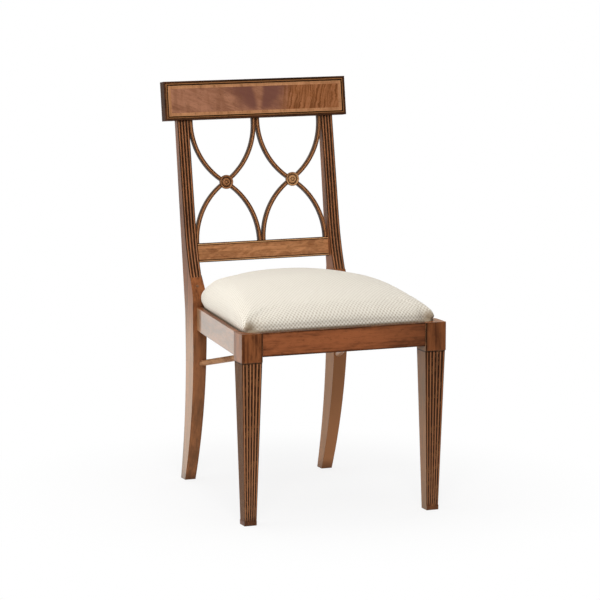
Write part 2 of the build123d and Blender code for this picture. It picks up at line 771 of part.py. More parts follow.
def seat_frame():
    """Four rails, half-lapped at the corners: front, rear, left, right."""
    outer = seat_outline(FRAME_INSET)
    inner = seat_outline(FRAME_INSET + SEAT_FRAME_WIDTH)
    front_y = inner[0][1]
    rear_y = inner[2][1]
    half_height = (SEAT_FRAME_BOTTOM + SEAT_FRAME_TOP) / 2
    ring = seat_slab(FRAME_INSET, SEAT_FRAME_BOTTOM, SEAT_FRAME_TOP)
    ring -= prism(inner, SEAT_FRAME_BOTTOM, SEAT_FRAME_TOP)
    wide = FRONT_WIDTH
    front_zone = block(-wide, wide, outer[0][1], front_y, 0, TALL)
    rear_zone = block(-wide, wide, rear_y, outer[2][1], 0, TALL)
    lower = block(-wide, wide, FRONT, -FRONT, 0, half_height)
    upper = block(-wide, wide, FRONT, -FRONT, half_height, TALL)
    slope = SIDE_RAIL_SLOPE
    far = (inner[1][0] + slope * (front_y - FRONT), FRONT)
    near = (inner[2][0] - slope * (-FRONT - rear_y), -FRONT)
    right_zone = prism([far, near, (wide, -FRONT), (wide, FRONT)], 0, TALL)
    left_zone = other_side(right_zone)
    ends = front_zone + rear_zone
    sides = right_zone + left_zone
    front = tilted((ring & front_zone) - (sides & upper))
    rear = tilted((ring & rear_zone) - (sides & upper))
    right = tilted((ring & right_zone) - (ends & lower))
    return front, rear, other_side(right), right


def webbing(across):
    """Strips stretched over the frame, the long ones lying on the cross ones."""
    outer = seat_outline(FRAME_INSET + WEBBING_MARGIN)
    bottom = SEAT_FRAME_TOP if across else SEAT_FRAME_TOP + WEBBING_THICK
    sheet = prism(outer, bottom, bottom + WEBBING_THICK)
    strips = []
    front, rear = outer[0][1], outer[2][1]
    narrow = outer[2][0]
    span = rear - front if across else 2 * narrow
    for place in range(WEBBING_STRIPS):
        middle = span * (place + 0.5) / WEBBING_STRIPS
        low, high = middle - WEBBING_WIDTH / 2, middle + WEBBING_WIDTH / 2
        if across:
            band = block(-FRONT_WIDTH, FRONT_WIDTH, front + low, front + high, 0, TALL)
        else:
            band = block(low - narrow, high - narrow, FRONT, -FRONT, 0, TALL)
        strips.append(tilted((sheet & band).solids()[0]))
    return strips


def cushion_section(y, half_width, crown, bottom):
    """Upright section: straight skirt, sides that lean out and round over, and an arched top."""
    lean = radians(SEAT_SIDE_LEAN)
    slope = radians(SEAT_TOP_SLOPE * crown / SEAT_CROWN)
    share = tan(slope / 2)
    across = sin(lean) - sin(slope)
    side_radius = (crown - half_width * share) / (cos(lean) + cos(slope) - share * across)
    top_radius = (half_width - side_radius * across) / sin(slope)
    start = (half_width, PAD_BOTTOM)
    side = JernArc(start, (cos(lean), sin(lean)), side_radius, 180 - degrees(lean + slope))
    top = JernArc(side @ 1, side % 1, top_radius, degrees(slope))
    half = [
        Line((0, bottom), (half_width, bottom)),
        Line((half_width, bottom), start),
        side,
        top,
    ]
    face = make_face(half + [mirror(edge, about=Plane.YZ) for edge in half])
    return Plane(origin=(0, y, 0), x_dir=(1, 0, 0), z_dir=(0, -1, 0)) * face


def cushion_half_width(y, inset):
    """Half width of the cushion's foot, drawn in round the front corners."""
    radius = SEAT_CORNER - inset
    lean = sqrt(1 + SIDE_RAIL_SLOPE ** 2)
    middle = FRONT_RAIL_FACE + LEDGE_MARGIN + SEAT_CORNER
    if y < middle + radius * SIDE_RAIL_SLOPE / lean:
        centre = side_rail_outer(middle) - LEDGE_MARGIN - inset - radius * lean
        return centre + sqrt(max(0, radius ** 2 - (y - middle) ** 2))
    return side_rail_outer(y) - LEDGE_MARGIN - inset


def cushion(inset, bottom):
    """Body of the upholstered seat: rolled down at the front, full at the back."""
    inset = inset + SEAT_PLAY
    plan = seat_outline(inset)
    front, rear = plan[0][1], plan[2][1]
    half_depth = (rear - front) / 2
    sections = []
    for station in CUSHION_STATIONS:
        y = front + (1 + station) * half_depth
        edge = SEAT_FRONT_CROWN if station < 0 else SEAT_REAR_CROWN
        roll = SEAT_FRONT_ROLL if station < 0 else SEAT_REAR_ROLL
        fullness = sqrt(1 - abs(station) ** roll)
        crown = edge + (SEAT_CROWN - edge) * fullness + SEAT_PLAY - inset
        sections.append(cushion_section(y, cushion_half_width(y, inset), crown, bottom))
    return tilted(loft(sections))


def seat_cover():
    """Cloth over the pad, drawn down round the frame."""
    outside = cushion(0, SEAT_FRAME_BOTTOM)
    inside = cushion(CLOTH_THICK, DUST_COVER_BOTTOM - CLOTH_THICK)
    return outside - inside


def seat_foam():
    above = block(-FRONT_WIDTH, FRONT_WIDTH, FRONT, -FRONT, PAD_BOTTOM + SOFT_PLAY, TALL)
    return cushion(CLOTH_THICK + SOFT_PLAY, SEAT_FRAME_BOTTOM) & tilted(above)


def seat_dust_cover():
    inset = FRAME_INSET + DUST_COVER_MARGIN
    return tilted(seat_slab(inset, DUST_COVER_BOTTOM, SEAT_FRAME_BOTTOM))


# Every node of the chair, by name
frame_front, frame_rear, frame_left, frame_right = seat_frame()
plug = post_plug(0)
screws = (front_block_screws(0) + rear_block_screws(0)).solids()
right_nodes = {
    "front_leg": front_leg(),
    "rear_leg": rear_leg(),
    "side_seat_rail": side_seat_rail(),
    "corner_block_front": corner_block(front_block_plan(), front_block_screws(FIT)),
    "corner_block_rear": corner_block(rear_block_plan(), rear_block_screws(FIT)),
    "rosette": rosette(),
    "brace_rod": brace_rod_body(0),
}
nodes = {
    "front_seat_rail": front_seat_rail(),
    "rear_seat_rail": rear_seat_rail(),
    "crest_rail": crest_rail(),
    "crest_banding": crest_banding(),
    "crest_veneer": crest_veneer(),
    "lower_back_rail": lower_back_rail(),
    "lower_rail_veneer": lower_rail_veneer(),
    "lattice_bar_right_rising": lattice_bar(True),
    "lattice_bar_right_falling": lattice_bar(False),
    "lattice_bar_left_falling": other_side(lattice_bar(True)),
    "lattice_bar_left_rising": other_side(lattice_bar(False)),
    "corner_block_screws": Compound(screws + [other_side(one) for one in screws]),
    "post_plugs": Compound([plug, other_side(plug)]),
    "seat_frame_front": frame_front,
    "seat_frame_rear": frame_rear,
    "seat_frame_left": frame_left,
    "seat_frame_right": frame_right,
    "seat_webbing_cross": Compound(webbing(True)),
    "seat_webbing_long": Compound(webbing(False)),
    "seat_foam": seat_foam(),
    "seat_cover": seat_cover(),
    "seat_dust_cover": seat_dust_cover(),
}
for name, solid in right_nodes.items():
    nodes[name + "_right"] = solid
    nodes[name + "_left"] = other_side(solid)

os.makedirs("parts", exist_ok=True)
for name, solid in nodes.items():
    export_step(solid, os.path.join("parts", name + ".step"))
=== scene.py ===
import math

import bmesh
import bpy
from mathutils import Matrix, Vector


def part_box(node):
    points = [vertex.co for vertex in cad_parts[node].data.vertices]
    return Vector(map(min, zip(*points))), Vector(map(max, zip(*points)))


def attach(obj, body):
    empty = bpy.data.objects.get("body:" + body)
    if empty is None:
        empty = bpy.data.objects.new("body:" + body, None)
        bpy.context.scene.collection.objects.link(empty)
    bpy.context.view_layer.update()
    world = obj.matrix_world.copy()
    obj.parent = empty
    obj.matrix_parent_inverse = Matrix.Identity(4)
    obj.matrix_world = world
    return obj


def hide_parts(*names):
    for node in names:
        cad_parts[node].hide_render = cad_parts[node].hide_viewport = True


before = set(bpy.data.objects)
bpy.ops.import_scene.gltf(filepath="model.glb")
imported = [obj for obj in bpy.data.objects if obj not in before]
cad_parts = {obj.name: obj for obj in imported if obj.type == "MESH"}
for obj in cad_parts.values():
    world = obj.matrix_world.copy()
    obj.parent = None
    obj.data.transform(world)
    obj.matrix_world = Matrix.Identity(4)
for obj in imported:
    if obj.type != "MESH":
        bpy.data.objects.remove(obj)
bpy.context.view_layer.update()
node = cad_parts

# Front legs
# Each is one square length of mahogany: a plain block at the seat, then a tapered shaft
# with six reeds worked on the front and the outer face. The polish is darker between the reeds,
# with painted shade there too, and the crowns carry rubbed polish and a painted highlight.
# Painted shade darkens the outer reeded face, a band under the block, the seam at the block's
# inner edge and the fronts, the right leg's more. The block's outer face has a painted sheen and
# the inner face a painted reflection; the legs grow darker towards the foot.

block_height = 0.063
block_half, foot_half = 0.024, 0.014
front_reeds = 6
# How much the reed crowns lighten on each front leg: rubbed polish and a painted highlight.
front_crown_rub_and_light = {"left": 0.95, "right": 0.75}
# How much painted shade falls on the front of each front leg.
front_face_shade = {"left": 0.08, "right": 0.25}

mahogany_light = (0.34, 0.114, 0.04, 1)
mahogany_dark = (0.08, 0.022, 0.008, 1)
# Painted shade on the fronts of the front legs and towards the right end of the front rail.
painted_shade_mahogany = (0.06, 0.022, 0.01, 1)
blotch_polish = (0.025, 0.009, 0.004, 1)
pore_polish = (0.03, 0.012, 0.006, 1)
# Darker towards the foot.
darker_foot = (0.035, 0.013, 0.007, 1)
# Near-black: dark polish in hollows and seams, and painted shade in grooves and along edges.
dark_polish_and_shade = (0.016, 0.005, 0.002, 1)
# Painted sheen on faces turned outward.
painted_sheen = (0.6, 0.42, 0.22, 1)
# Rubbed colour of the edges, partly a painted highlight.
edge_rub_and_highlight = (0.5, 0.24, 0.1, 1)
# Lighter reed crowns: rubbed polish and a painted highlight.
reed_crown_rub_and_highlight = (0.6, 0.27, 0.125, 1)
# Painted shade on the outer reeded faces of the front legs.
painted_side_shade = (0.08, 0.036, 0.015, 1)
# Painted reflection on the inner faces of the front legs.
painted_inner_reflection = (0.27, 0.165, 0.085, 1)
warm_gleam = (1.0, 0.82, 0.58, 1)


def wire(tree, source, target):
    tree.links.new(source, target)


def feed(tree, socket, value):
    """Set a socket to a number, a colour or another node's output."""
    if isinstance(value, bpy.types.NodeSocket):
        wire(tree, value, socket)
    else:
        socket.default_value = value


def calc(tree, operation, first, second=0.0, third=0.0, clamp=False):
    """One step of arithmetic; returns its output."""
    step = tree.nodes.new("ShaderNodeMath")
    step.operation = operation
    step.use_clamp = clamp
    for socket, value in zip(step.inputs, (first, second, third)):
        feed(tree, socket, value)
    return step.outputs[0]


def times(tree, first, second):
    return calc(tree, "MULTIPLY", first, second)


def minus(tree, first, second):
    return calc(tree, "SUBTRACT", first, second)


def ease(tree, value, low, high, start=0.0, end=1.0):
    """A smooth step from start to end while the value goes from low to high."""
    step = tree.nodes.new("ShaderNodeMapRange")
    step.interpolation_type = "SMOOTHSTEP"
    for socket, number in zip(step.inputs, (value, low, high, start, end)):
        feed(tree, socket, number)
    return step.outputs[0]


def band(tree, value, low, high, soft):
    """1 between two values, falling to 0 outside them."""
    begun = ease(tree, value, low - soft, low + soft)
    return times(tree, begun, ease(tree, value, high - soft, high + soft, 1.0, 0.0))


def tint(tree, amount, first, second):
    """Mix two colours; returns the colour."""
    step = tree.nodes.new("ShaderNodeMix")
    step.data_type = "RGBA"
    feed(tree, step.inputs["Factor"], amount)
    feed(tree, step.inputs["A"], first)
    feed(tree, step.inputs["B"], second)
    return step.outputs["Result"]


def turned(tree, vector, turn=(0, 0, 0), size=(1, 1, 1), shift=(0, 0, 0)):
    """Turn, stretch and move a pattern's coordinates."""
    step = tree.nodes.new("ShaderNodeMapping")
    step.inputs["Rotation"].default_value = [math.radians(angle) for angle in turn]
    step.inputs["Scale"].default_value = size
    step.inputs["Location"].default_value = shift
    wire(tree, vector, step.inputs["Vector"])
    return step.outputs["Vector"]


def cloud(tree, vector, detail=2.0, rough=0.5, bend=0.0):
    """A noise of unit scale at these coordinates."""
    step = tree.nodes.new("ShaderNodeTexNoise")
    wire(tree, vector, step.inputs["Vector"])
    step.inputs["Scale"].default_value = 1.0
    step.inputs["Detail"].default_value = detail
    step.inputs["Roughness"].default_value = rough
    step.inputs["Distortion"].default_value = bend
    return step.outputs["Fac"]


def parts_of(tree, vector):
    """A vector's three numbers."""
    split = tree.nodes.new("ShaderNodeSeparateXYZ")
    wire(tree, vector, split.inputs[0])
    return split.outputs


def new_group(name, inputs, outputs):
    """An empty shader group with named sockets."""
    group = bpy.data.node_groups.new(name, "ShaderNodeTree")
    for label, kind in inputs:
        group.interface.new_socket(label, in_out="INPUT", socket_type=kind)
    for label, kind in outputs:
        group.interface.new_socket(label, in_out="OUTPUT", socket_type=kind)
    return group, group.nodes.new("NodeGroupInput"), group.nodes.new("NodeGroupOutput")


def build_mahogany_figure():
    """Streaks, mottle, fine lines and pores of polished mahogany whose grain runs along Z."""
    group, given, put = new_group(
        "mahogany_figure",
        [
            ("Vector", "NodeSocketVector"),
            ("Light", "NodeSocketColor"),
            ("Dark", "NodeSocketColor"),
        ],
        [
            ("Color", "NodeSocketColor"),
            ("Roughness", "NodeSocketFloat"),
            ("Height", "NodeSocketFloat"),
        ],
    )
    place = given.outputs["Vector"]
    broad = cloud(group, turned(group, place, size=(34, 34, 2.6)), detail=4, rough=0.55, bend=0.5)
    fine = cloud(group, turned(group, place, size=(210, 210, 7)), detail=4, rough=0.6)
    mottle = cloud(group, turned(group, place, size=(85, 85, 24)), detail=5, rough=0.65, bend=0.7)
    pores = cloud(group, turned(group, place, size=(1500, 1500, 55)), detail=1)
    broad_share, fine_share, mottle_share = 0.45, 0.25, 0.3
    mixed = calc(group, "MULTIPLY_ADD", broad, broad_share, times(group, fine, fine_share))
    mixed = calc(group, "MULTIPLY_ADD", mottle, mottle_share, mixed)
    share = ease(group, mixed, 0.38, 0.6)
    colour = tint(group, share, given.outputs["Dark"], given.outputs["Light"])
    blotch = cloud(group, turned(group, place, size=(120, 120, 70)), detail=4, rough=0.7, bend=0.4)
    colour = tint(group, ease(group, blotch, 0.54, 0.72, 0.0, 0.36), colour, blotch_polish)
    pitted = ease(group, pores, 0.6, 0.72)
    pore_share = 0.45
    colour = tint(group, times(group, pitted, pore_share), colour, pore_polish)
    least_rough, fine_rough, pore_rough = 0.26, 0.16, 0.12
    rough = calc(group, "MULTIPLY_ADD", fine, fine_rough, least_rough)
    rough = calc(group, "MULTIPLY_ADD", pitted, pore_rough, rough)
    height = minus(group, times(group, fine, 0.5), pitted)
    wire(group, colour, put.inputs["Color"])
    wire(group, rough, put.inputs["Roughness"])
    wire(group, height, put.inputs["Height"])
    return group


def build_edge_wear_and_shade():
    """Edges of a piece: painted shade along them and dark polish in the seams, and rubbed thin in
    patches that are partly a painted highlight.
    """
    group, given, put = new_group(
        "edge_wear_and_shade",
        [("Vector", "NodeSocketVector"), ("Width", "NodeSocketFloat")],
        [("Rub and highlight", "NodeSocketFloat"), ("Dark", "NodeSocketFloat"), ("Normal", "NodeSocketVector")],
    )
    soft = group.nodes.new("ShaderNodeBevel")
    soft.samples = 6
    wire(group, given.outputs["Width"], soft.inputs["Radius"])
    flat = group.nodes.new("ShaderNodeNewGeometry")
    likeness = group.nodes.new("ShaderNodeVectorMath")
    likeness.operation = "DOT_PRODUCT"
    wire(group, soft.outputs["Normal"], likeness.inputs[0])
    wire(group, flat.outputs["Normal"], likeness.inputs[1])
    edge = ease(group, minus(group, 1.0, likeness.outputs["Value"]), 0.03, 0.22)
    patch_place = turned(group, given.outputs["Vector"], size=(60, 60, 60))
    patchy = cloud(group, patch_place, detail=3, rough=0.65)
    # Rubbed patches along the edges, partly a painted highlight.
    wire(group, times(group, edge, ease(group, patchy, 0.5, 0.62)), put.inputs["Rub and highlight"])
    # Painted shade along every edge, with dark polish in the seams.
    wire(group, edge, put.inputs["Dark"])
    wire(group, soft.outputs["Normal"], put.inputs["Normal"])
    return group


mahogany_figure = build_mahogany_figure()
edge_wear_and_shade = build_edge_wear_and_shade()


def use_group(tree, group, **values):
    """Place a group in a material with its own values."""
    step = tree.nodes.new("ShaderNodeGroup")
    step.node_tree = group
    for label, value in values.items():
        feed(tree, step.inputs[label], value)
    return step


def start_material(name):
    """A new material: itself, its tree, its shader and the place on the object."""
    material = bpy.data.materials.new(name)
    material.use_nodes = True
    tree = material.node_tree
    place = tree.nodes.new("ShaderNodeTexCoord").outputs["Object"]
    return material, tree, tree.nodes["Principled BSDF"], place


def raise_surface(tree, shader, height, strength, distance, under=None):
    """Give the surface a fine relief, over a softened normal where there is one."""
    relief = tree.nodes.new("ShaderNodeBump")
    relief.inputs["Strength"].default_value = strength
    relief.inputs["Distance"].default_value = distance
    wire(tree, height, relief.inputs["Height"])
    if under:
        wire(tree, under, relief.inputs["Normal"])
    wire(tree, relief.outputs["Normal"], shader.inputs["Normal"])


class PolishedWood:
    """A polished wood under way: its tree, its place and the colour so far."""

    def __init__(self, name, turn, shift, light, dark, edge=0.0018):
        self.material, self.tree, self.shader, self.place = start_material(name)
        grain = turned(self.tree, self.place, turn, shift=shift)
        self.figure = use_group(self.tree, mahogany_figure, Vector=grain, Light=light, Dark=dark)
        self.colour = self.figure.outputs["Color"]
        self.edge_wear_and_light = None
        if edge:
            self.edge_wear_and_light = use_group(self.tree, edge_wear_and_shade, Vector=self.place, Width=edge)

    def axes(self):
        """The place's three coordinates."""
        return parts_of(self.tree, self.place)

    def facing(self):
        """The surface's own direction, as three numbers."""
        surface = self.tree.nodes.new("ShaderNodeNewGeometry")
        return parts_of(self.tree, surface.outputs["True Normal"])

    def front_face(self, low, high):
        """1 on faces that look forward, 0 on the others."""
        return ease(self.tree, times(self.tree, self.facing()[1], -1.0), low, high)

    def outward(self, side):
        """How far the surface looks away from the chair's middle, from -1 to 1."""
        return times(self.tree, self.facing()[0], -1.0 if side == "left" else 1.0)

    def lay(self, amount, colour=darker_foot):
        """Lay a polish, a stain, a rubbed patch, painted light or painted shade where the amount
        says.
        """
        self.colour = tint(self.tree, amount, self.colour, colour)

    def finish(
        self, edge_wear_and_light=edge_rub_and_highlight, edge_share=0.75, gloss=0.22, coat=0.0, relief=0.00012, matt=None
    ):
        """Join the colour, the edges (painted shade, dark polish in the seams, rubbed patches
        partly a painted highlight), the gloss and the grain's relief to the shader.
        """
        tree, shader = self.tree, self.shader
        softened = None
        if self.edge_wear_and_light:
            softened = self.edge_wear_and_light.outputs["Normal"]
            # Painted shade along the edges and dark polish in the seams, then rubbed patches that
            # are partly a painted highlight.
            self.lay(times(tree, self.edge_wear_and_light.outputs["Dark"], edge_share), dark_polish_and_shade)
            self.lay(times(tree, self.edge_wear_and_light.outputs["Rub and highlight"], edge_share), edge_wear_and_light)
        matt_share, relief_strength = 0.6, 0.35
        rough = self.figure.outputs["Roughness"]
        if matt:
            rough = calc(tree, "MULTIPLY_ADD", rough, matt_share, matt)
        wire(tree, self.colour, shader.inputs["Base Color"])
        wire(tree, rough, shader.inputs["Roughness"])
        feed(tree, shader.inputs["Coat Weight"], coat)
        shader.inputs["Coat Roughness"].default_value = 0.1
        shader.inputs["IOR"].default_value = 1.5
        shader.inputs["Specular IOR Level"].default_value = gloss
        shader.inputs["Specular Tint"].default_value = warm_gleam
        height = self.figure.outputs["Height"]
        raise_surface(tree, shader, height, relief_strength, relief, softened)
        return self.material


def dress(piece, material):
    """Give a piece one material."""
    piece.data.materials.clear()
    piece.data.materials.append(material)


def reed_shade(tree, across, reeds):
    """From 0 in the groove between two reeds to 1 on a reed; across runs from -1 to 1."""
    step = calc(tree, "MULTIPLY_ADD", across, reeds / 2, reeds / 2 + 0.5)
    beside = calc(tree, "ABSOLUTE", minus(tree, calc(tree, "FRACT", step), 0.5))
    return times(tree, beside, 2.0)


def stain_reeds(wood, shade, where, rub=0.75):
    """Dark polish and painted shade in the grooves; rubbed polish and a painted highlight on top
    of the reeds.
    """
    tree = wood.tree
    # Crowns: rubbed polish and a painted highlight.
    wood.lay(times(tree, ease(tree, shade, 0.66, 0.96, 0.0, rub), where), reed_crown_rub_and_highlight)
    # Grooves: dark polish and painted shade.
    wood.lay(times(tree, ease(tree, shade, 0.34, 0.76, 1.0, 0.0), where), dark_polish_and_shade)


def front_leg_wood(side):
    shift = (0.3 if side == "left" else 1.1, 0, 0.2)
    leg = PolishedWood(
        "front_leg_mahogany_" + side, turn=(0, 0, 0), shift=shift,
        light=mahogany_light, dark=mahogany_dark, edge=0.003,
    )
    tree = leg.tree
    x, y, z = leg.axes()
    low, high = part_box("front_leg_" + side)
    middle_x, middle_y = (low.x + high.x) / 2, (low.y + high.y) / 2
    shaft_top = high.z - block_height
    half = calc(tree, "MULTIPLY_ADD", z, (block_half - foot_half) / shaft_top, foot_half)
    over_front = calc(tree, "DIVIDE", minus(tree, x, middle_x), half)
    over_side = calc(tree, "DIVIDE", minus(tree, y, middle_y), half)
    outward = leg.outward(side)
    on_front = leg.front_face(0.3, 0.6)
    on_side = ease(tree, outward, 0.3, 0.6)
    below_block = ease(tree, z, shaft_top - 0.002, shaft_top + 0.001, 1.0, 0.0)
    reeded = times(tree, ease(tree, z, 0.006, 0.02), below_block)
    front_reeding, side_reeding = times(tree, reeded, on_front), times(tree, reeded, on_side)
    front_shade = reed_shade(tree, over_front, front_reeds)
    stain_reeds(leg, front_shade, front_reeding, front_crown_rub_and_light[side])
    stain_reeds(leg, reed_shade(tree, over_side, front_reeds), side_reeding)
    # Darker towards the foot.
    leg.lay(ease(tree, z, 0.0, 0.03, 0.5, 0.0))
    # Painted shade on the outer reeded face.
    leg.lay(times(tree, side_reeding, 0.7), painted_side_shade)
    # Painted reflection on the inner face.
    leg.lay(ease(tree, times(tree, outward, -1.0), 0.85, 0.98, 0.0, 0.55), painted_inner_reflection)
    # Painted sheen on the outer face of the block.
    plain = times(tree, on_side, ease(tree, z, shaft_top, shaft_top + 0.003))
    leg.lay(times(tree, plain, 0.1), painted_sheen)
    # Painted shade on the front, more on the right leg.
    leg.lay(times(tree, on_front, front_face_shade[side]), painted_shade_mahogany)
    # Dark joint at the block's inner edge, widened by painted shade.
    seam = minus(tree, calc(tree, "ABSOLUTE", x), abs(middle_x) - block_half)
    leg.lay(times(tree, ease(tree, seam, 0.001, 0.0055, 0.95, 0.0), on_front), dark_polish_and_shade)
    # Painted shade in a band under the block.
    shaft_head = band(tree, z, shaft_top - 0.003, shaft_top, 0.001)
    leg.lay(times(tree, shaft_head, 0.85), dark_polish_and_shade)
    return leg.finish(coat=times(tree, plain, 0.5))


for side in ("left", "right"):
    dress(node["front_leg_" + side], front_leg_wood(side))

# Seat rails
# Four straight mahogany rails are tenoned into the legs. The front and side rails have a rebate
# along the top for the loose seat. The front rail has a dark line along its bottom edge, painted
# shadow along its top edge under the cushion and painted shade towards its right end. The outer
# faces of the side rails carry a painted sheen.

front_rail_light, front_rail_dark = (0.38, 0.119, 0.044, 1), (0.075, 0.022, 0.009, 1)
side_rail_splay = 8.4


def front_rail_wood():
    rail = PolishedWood(
        "front_rail_mahogany", turn=(0, 90, 0), shift=(0.2, 0.7, 0.1),
        light=front_rail_light, dark=front_rail_dark, edge=0.003,
    )
    tree = rail.tree
    x, _, z = rail.axes()
    # Painted shade, darker towards the right end.
    rail.lay(ease(tree, x, 0.04, 0.2, 0.0, 0.4), painted_shade_mahogany)
    # A dark line along the bottom edge, and painted shadow along the top edge under the cushion.
    lower_edge = ease(tree, z, 0.3705, 0.375, 0.75, 0.0)
    upper_edge = ease(tree, z, 0.4175, 0.421, 0.0, 0.6)
    rail.lay(lower_edge, dark_polish_and_shade)
    rail.lay(upper_edge, dark_polish_and_shade)
    return rail.finish()


def side_rail_wood(side, splay):
    rail = PolishedWood(
        "side_rail_mahogany_" + side, turn=(90, 0, splay), shift=(0.5, 0.2, 0.4 + splay),
        light=mahogany_light, dark=mahogany_dark, edge=0.003,
    )
    # Painted sheen on the outer faces of the side rails.
    outer = ease(rail.tree, rail.outward(side), 0.5, 0.9)
    rail.lay(times(rail.tree, outer, 0.26), painted_sheen)
    return rail.finish(gloss=0.5, coat=times(rail.tree, outer, 0.7))


front_rail_mahogany = front_rail_wood()
dress(node["front_seat_rail"], front_rail_mahogany)
dress(node["rear_seat_rail"], front_rail_mahogany)
for side, splay in (("left", side_rail_splay), ("right", -side_rail_splay)):
    dress(node["side_seat_rail_" + side], side_rail_wood(side, splay))

# Rear legs
# Each sabre leg and its reeded post are sawn from one plank, so the grain follows the post.
# Four reeds run up the front of the post from a plain shoulder. The fronts of the lower legs
# carry painted light, their outer faces a painted sheen and their inner faces painted light; the
# flanks of the posts carry painted shade.

post_middle, post_half = 0.177, 0.0142
post_reeds = 4
# Painted shade on the flanks of the posts; painted light on the inner faces of the legs.
painted_flank_shade, painted_rear_inner_light = (0.1, 0.04, 0.016, 1), (0.4, 0.21, 0.1, 1)
# How much painted light falls on the front of each lower rear leg, and its colour.
rear_front_light_share = {"left": 0.35, "right": 0.95}
painted_rear_front_light = {"left": (0.36, 0.175, 0.082, 1), "right": (0.46, 0.2, 0.088, 1)}


def blended(tree, share, first, second):
    """A number that goes from the first to the second."""
    return calc(tree, "MULTIPLY_ADD", minus(tree, second, first), share, first)


def rear_leg_wood(side):
    shift = (0.8 if side == "left" else 2.3, 0.3, 0.6)
    leg = PolishedWood(
        "rear_leg_mahogany_" + side, turn=(-5, 0, 0), shift=shift,
        light=mahogany_light, dark=mahogany_dark, edge=0.0012,
    )
    tree = leg.tree
    x, _, z = leg.axes()
    aside = minus(tree, calc(tree, "ABSOLUTE", x), post_middle)
    across = calc(tree, "DIVIDE", aside, post_half)
    on_front = leg.front_face(0.3, 0.6)
    reeded = times(tree, on_front, ease(tree, z, 0.479, 0.482))
    stain_reeds(leg, reed_shade(tree, across, post_reeds), reeded, rub=0.55)
    outward = leg.outward(side)
    post = ease(tree, z, 0.3, 0.5)
    # Painted sheen on the outer faces, most on the lower legs.
    outside = times(tree, ease(tree, outward, 0.5, 0.9), blended(tree, post, 1.0, 0.1))
    leg.lay(times(tree, outside, 0.34), painted_sheen)
    # Painted shade on the flanks of the posts.
    flank = ease(tree, calc(tree, "ABSOLUTE", leg.facing()[0]), 0.5, 0.9)
    leg.lay(times(tree, flank, blended(tree, post, 0.0, 0.4)), painted_flank_shade)
    # Painted light on the inner faces, most on the lower legs.
    inside = ease(tree, outward, -0.9, -0.5, 1.0, 0.0)
    leg.lay(times(tree, inside, blended(tree, post, 0.7, 0.1)), painted_rear_inner_light)
    # Painted light on the fronts of the lower legs, fading out up the post.
    rubbed = blended(tree, post, rear_front_light_share[side], 0.0)
    leg.lay(times(tree, on_front, rubbed), painted_rear_front_light[side])
    # Darker towards the foot.
    leg.lay(ease(tree, z, 0.0, 0.03, 0.5, 0.0))
    return leg.finish(gloss=0.15, coat=times(tree, outside, 0.85))


for side in ("left", "right"):
    dress(node["rear_leg_" + side], rear_leg_wood(side))

# Post plugs
# A short round plug, turned from mahogany, covers a fixing.
# One is let into the plain part of each post.

plug_wood = PolishedWood(
    "plug_mahogany", turn=(60, 0, 0), shift=(0.1, 0.9, 0.3),
    light=(0.3, 0.16, 0.09, 1), dark=(0.17, 0.08, 0.04, 1), edge=0.0006,
)
dress(node["post_plugs"], plug_wood.finish())

# Crest rail
# A dark mahogany tablet with a moulded border sits on a tenon at the top of each post.
# A figured veneer, book-matched about its middle, is laid in the sunk field inside a light
# cross-banded border.

back_rake = math.radians(8.6)
back_foot_y, back_foot_z = 0.19025, 0.422
crest_half_width, crest_bottom, crest_top = 0.2225, 0.413, 0.502
crest_back, crest_bead = (0.2, 0.064, 0.022, 1), (0.4, 0.17, 0.06, 1)
# Rubbed colour of the crest's edges, partly a painted highlight.
crest_edge_rub_and_highlight = (0.36, 0.16, 0.07, 1)
stringing = (0.62, 0.3, 0.12, 1)
veneer_middle = 0.008
veneer_lobe, veneer_flame = (0.18, 0.068, 0.05, 1), (0.22, 0.085, 0.042, 1)
veneer_right, veneer_curl = (0.42, 0.145, 0.04, 1), (0.16, 0.05, 0.013, 1)


def up_the_back(wood):
    """Height up the raked back from the level of the seat rails."""
    tree = wood.tree
    _, y, z = wood.axes()
    rise = times(tree, minus(tree, z, back_foot_z), math.cos(back_rake))
    behind = times(tree, minus(tree, y, back_foot_y), math.sin(back_rake))
    return calc(tree, "ADD", rise, behind)


def crest_inset(wood):
    """Distance in from the nearest edge of the tablet."""
    tree = wood.tree
    height = up_the_back(wood)
    inset = minus(tree, crest_half_width, calc(tree, "ABSOLUTE", wood.axes()[0]))
    inset = calc(tree, "MINIMUM", inset, minus(tree, height, crest_bottom))
    return calc(tree, "MINIMUM", inset, minus(tree, crest_top, height))


def crest_border_wood():
    border = PolishedWood(
        "crest_dark_mahogany", turn=(0, 90, 0), shift=(0.4, 0.1, 0.9),
        light=(0.1, 0.034, 0.013, 1), dark=(0.03, 0.011, 0.005, 1), edge=0.0012,
    )
    tree = border.tree
    inset = crest_inset(border)
    facing_x, facing_y, _ = border.facing()
    on_front = border.front_face(0.4, 0.8)
    border.lay(ease(tree, calc(tree, "ABSOLUTE", facing_x), 0.6, 0.9, 0.0, 0.6), dark_polish_and_shade)
    border.lay(ease(tree, facing_y, 0.6, 0.9, 0.0, 0.6), crest_back)
    bead = times(tree, band(tree, inset, 0.0046, 0.0068, 0.0005), on_front)
    border.lay(times(tree, bead, 0.9), crest_bead)
    # Near-black groove, widened by painted shade from the step inside it.
    groove = times(tree, band(tree, inset, 0.0072, 0.012, 0.0004), on_front)
    border.lay(times(tree, groove, 0.95), dark_polish_and_shade)
    return border.finish(edge_wear_and_light=crest_edge_rub_and_highlight, edge_share=0.5, gloss=0.12, matt=0.3)


